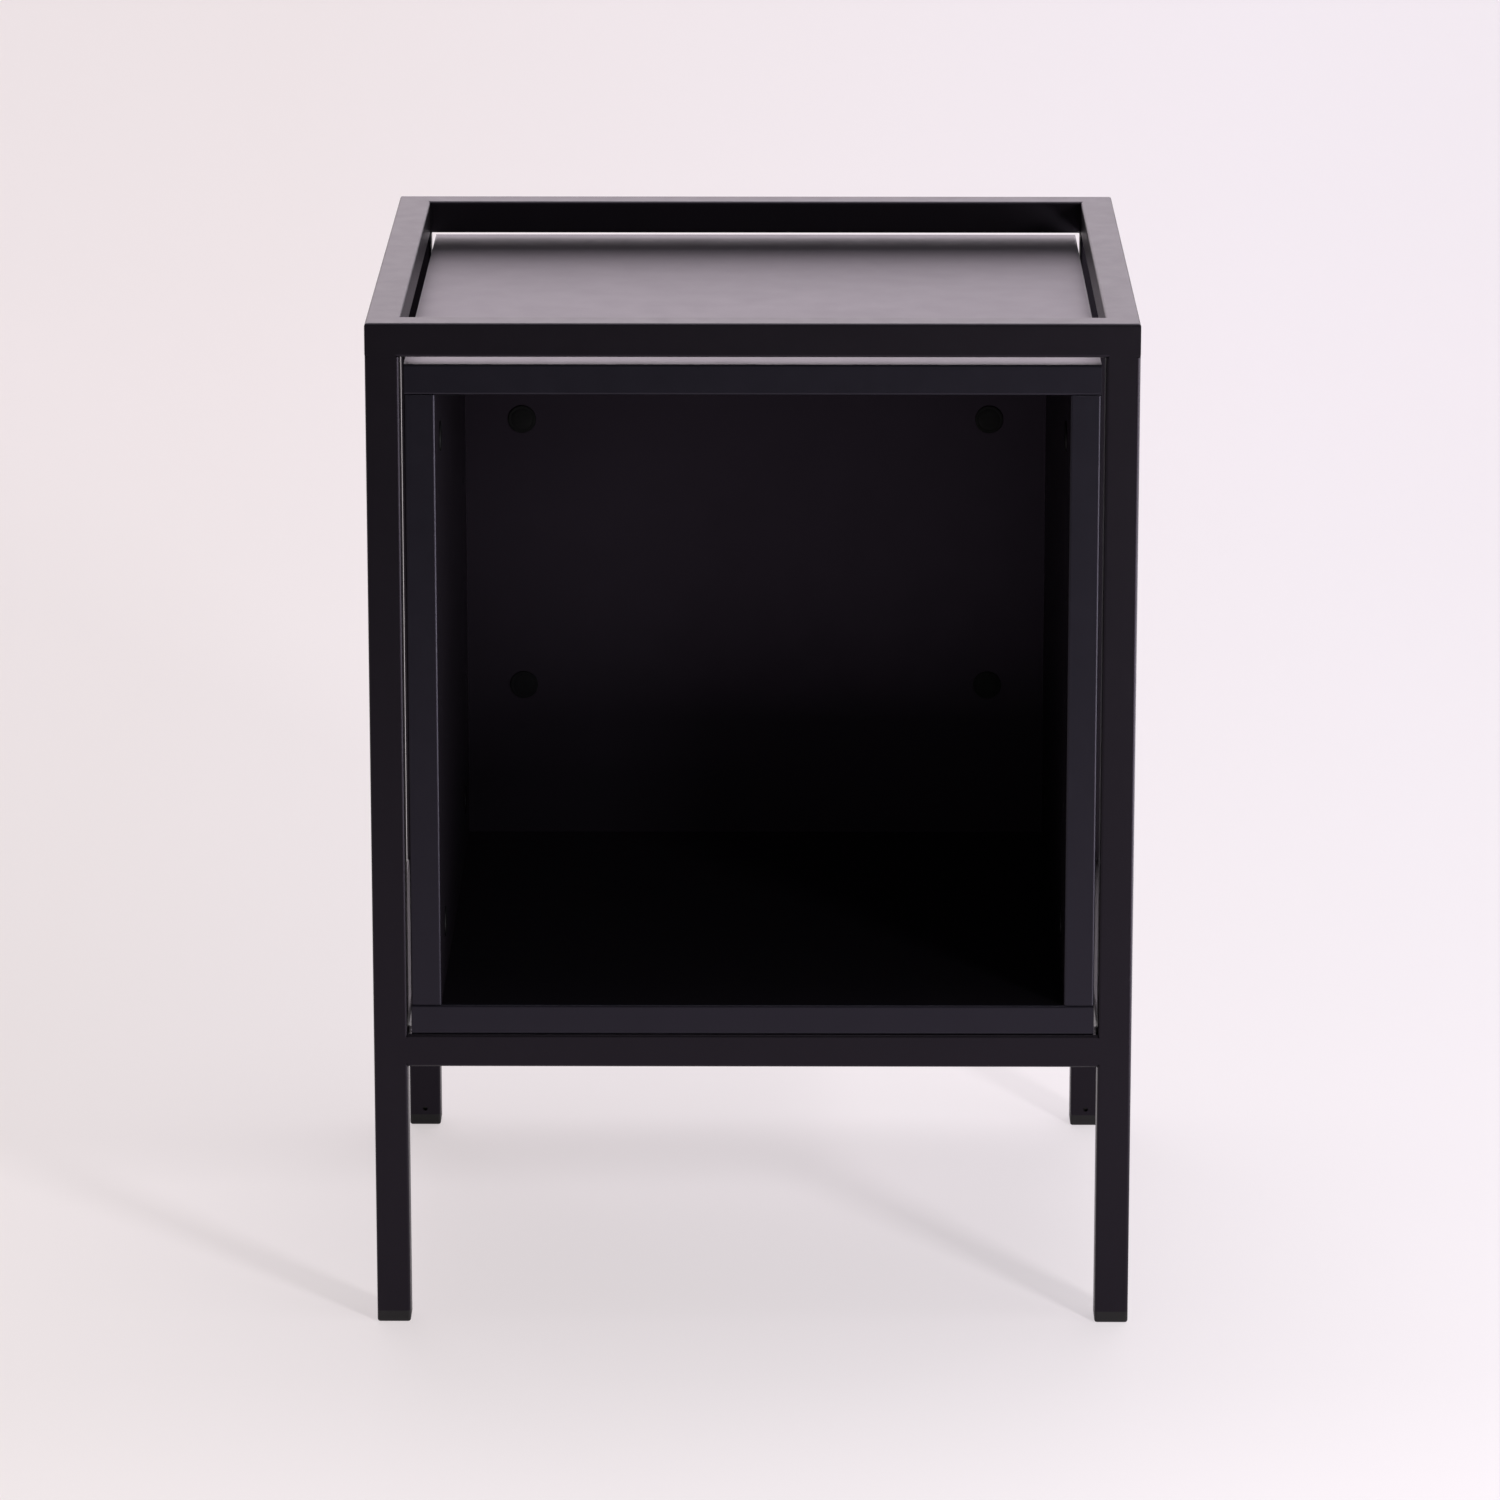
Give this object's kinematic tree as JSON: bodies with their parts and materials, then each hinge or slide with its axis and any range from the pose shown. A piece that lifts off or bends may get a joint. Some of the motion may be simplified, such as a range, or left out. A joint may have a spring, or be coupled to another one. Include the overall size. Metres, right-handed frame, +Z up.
{
  "type": "open display case",
  "caption": "Low open-fronted display case of black boards in a welded frame of square steel tube on four legs, with a shallow tray on top.",
  "frame": {"origin": "on the floor, under the middle of the frame", "axes": "+Z up, +X to the viewer's right, -Y out of the open front"},
  "size_m": [0.45, 0.41, 0.61],
  "materials": {
    "black_steel": "satin black powder coat",
    "foot_plastic": "moulded black plastic",
    "black_board": "fine-grained matt black laminate on board",
    "edge_band": "satin black edge band",
    "cam_metal": "zinc die casting",
    "cover_plastic": "moulded black plastic",
    "bolt_steel": "zinc-plated steel",
    "dowel_wood": "plain beech"
  },
  "bodies": {
    "root": {"post_front_left": "black_steel", "post_front_right": "black_steel", "post_back_left": "black_steel", "post_back_right": "black_steel", "top_rail_front": "black_steel", "top_rail_back": "black_steel", "top_rail_left": "black_steel", "top_rail_right": "black_steel", "low_rail_front": "black_steel", "low_rail_back": "black_steel", "low_rail_left": "black_steel", "low_rail_right": "black_steel", "weld_beads": "black_steel", "foot_front_left": "foot_plastic", "foot_front_right": "foot_plastic", "foot_back_left": "foot_plastic", "foot_back_right": "foot_plastic", "case_top": "black_board", "case_bottom": "black_board", "case_left": "black_board", "case_right": "black_board", "case_back": "black_board", "front_band_top": "edge_band", "front_band_bottom": "edge_band", "front_band_left": "edge_band", "front_band_right": "edge_band", "end_bands": "edge_band", "back_bands_flat": "edge_band", "back_bands_side": "edge_band", "cam_locks": "cam_metal", "cam_covers": "cover_plastic", "cam_bolts": "bolt_steel", "dowels": "dowel_wood", "case_screws": "bolt_steel"}
  },
  "joints": []
}
